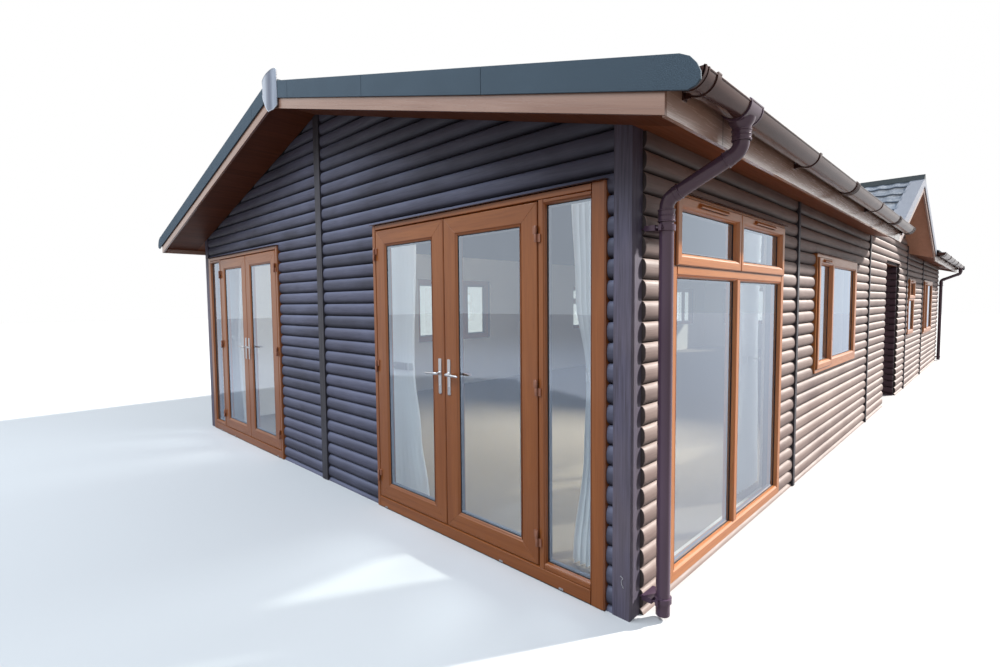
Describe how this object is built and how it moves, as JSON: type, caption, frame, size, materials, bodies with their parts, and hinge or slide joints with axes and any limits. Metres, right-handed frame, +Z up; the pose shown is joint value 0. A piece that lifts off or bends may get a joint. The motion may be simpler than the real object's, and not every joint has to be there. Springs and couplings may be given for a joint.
{
  "type": "holiday chalet",
  "caption": "Long single-storey timber lodge with a shallow gabled roof, glazed double doors in its gable end and a side entrance recessed under a small gable.",
  "frame": {"origin": "on the ground at the middle of the plan, midway between the gables and between the eaves", "axes": "+X towards the wall with the side entrance, +Y along the lodge to its rear gable, +Z up; the gable with the glazed doors faces -Y"},
  "size_m": [7.0812, 16.088, 3.4117],
  "materials": {
    "side_cladding": "weathered stain",
    "end_cladding": "dark stain",
    "post_timber": "weathered stain",
    "board_timber": "satin stain",
    "soffit_timber": "satin stain",
    "oak_upvc": "oak grain foil, satin",
    "roof_tile": "granule coated",
    "slate_trim": "granule coated",
    "brown_rainwater": "gloss",
    "clear_glass": "clear",
    "steel_fittings": "satin",
    "floor_board": "plain board"
  },
  "bodies": {
    "chalet": {"corner_posts": "post_timber", "eaves_courses": "roof_tile", "eaves_soffits": "soffit_timber", "end_battens": "end_cladding", "entrance_door": "oak_upvc", "entrance_frame": "oak_upvc", "fascias": "board_timber", "floor": "floor_board", "front_downpipe": "brown_rainwater", "front_wall_ends": "end_cladding", "front_wall_gable": "end_cladding", "front_wall_middle": "end_cladding", "gable_bargeboards": "board_timber", "gable_soffits": "soffit_timber", "gable_verge_flanges": "slate_trim", "gable_verge_trims": "slate_trim", "gablet_bargeboards": "board_timber", "gablet_ridge_cap": "slate_trim", "gablet_roof": "roof_tile", "gablet_soffit": "soffit_timber", "gablet_verge_trims": "slate_trim", "gutter_brackets": "brown_rainwater", "hinge_flags": "steel_fittings", "left_door_frame": "oak_upvc", "left_downpipes": "brown_rainwater", "left_gutter": "brown_rainwater", "left_wall": "side_cladding", "left_window_frames": "oak_upvc", "main_ridge_cap": "slate_trim", "rear_downpipe": "brown_rainwater", "rear_wall": "end_cladding", "rear_window_frames": "oak_upvc", "recess_back": "end_cladding", "recess_ceiling": "soffit_timber", "recess_sides": "end_cladding", "ridge_finials": "slate_trim", "right_door_frame": "oak_upvc", "right_gutters": "brown_rainwater", "right_wall_front": "side_cladding", "right_wall_gable": "side_cladding", "right_wall_rear": "side_cladding", "right_window_frames": "oak_upvc", "roof_left": "roof_tile", "roof_right": "roof_tile", "side_battens": "side_cladding", "sidelight_glass": "clear_glass", "tall_window_frame": "oak_upvc", "window_glass": "clear_glass"},
    "door_1": {"door_1_sash": "oak_upvc", "door_1_glass": "clear_glass", "door_1_hardware": "steel_fittings"},
    "door_2": {"door_2_sash": "oak_upvc", "door_2_glass": "clear_glass", "door_2_hardware": "steel_fittings"},
    "door_3": {"door_3_sash": "oak_upvc", "door_3_glass": "clear_glass", "door_3_hardware": "steel_fittings"},
    "door_4": {"door_4_sash": "oak_upvc", "door_4_glass": "clear_glass", "door_4_hardware": "steel_fittings"}
  },
  "joints": [
    {"name": "door_1_hinge", "type": "hinge", "parent": "chalet", "child": "door_1", "pos_m": [-2.483, -7.647, 1.1], "axis": [0, 0, -1], "range_deg": [0, 170]},
    {"name": "door_2_hinge", "type": "hinge", "parent": "chalet", "child": "door_2", "pos_m": [-0.902, -7.647, 1.1], "axis": [0, 0, 1], "range_deg": [0, 170]},
    {"name": "door_3_hinge", "type": "hinge", "parent": "chalet", "child": "door_3", "pos_m": [0.902, -7.647, 1.1], "axis": [0, 0, -1], "range_deg": [0, 170]},
    {"name": "door_4_hinge", "type": "hinge", "parent": "chalet", "child": "door_4", "pos_m": [2.483, -7.647, 1.1], "axis": [0, 0, 1], "range_deg": [0, 170]}
  ]
}
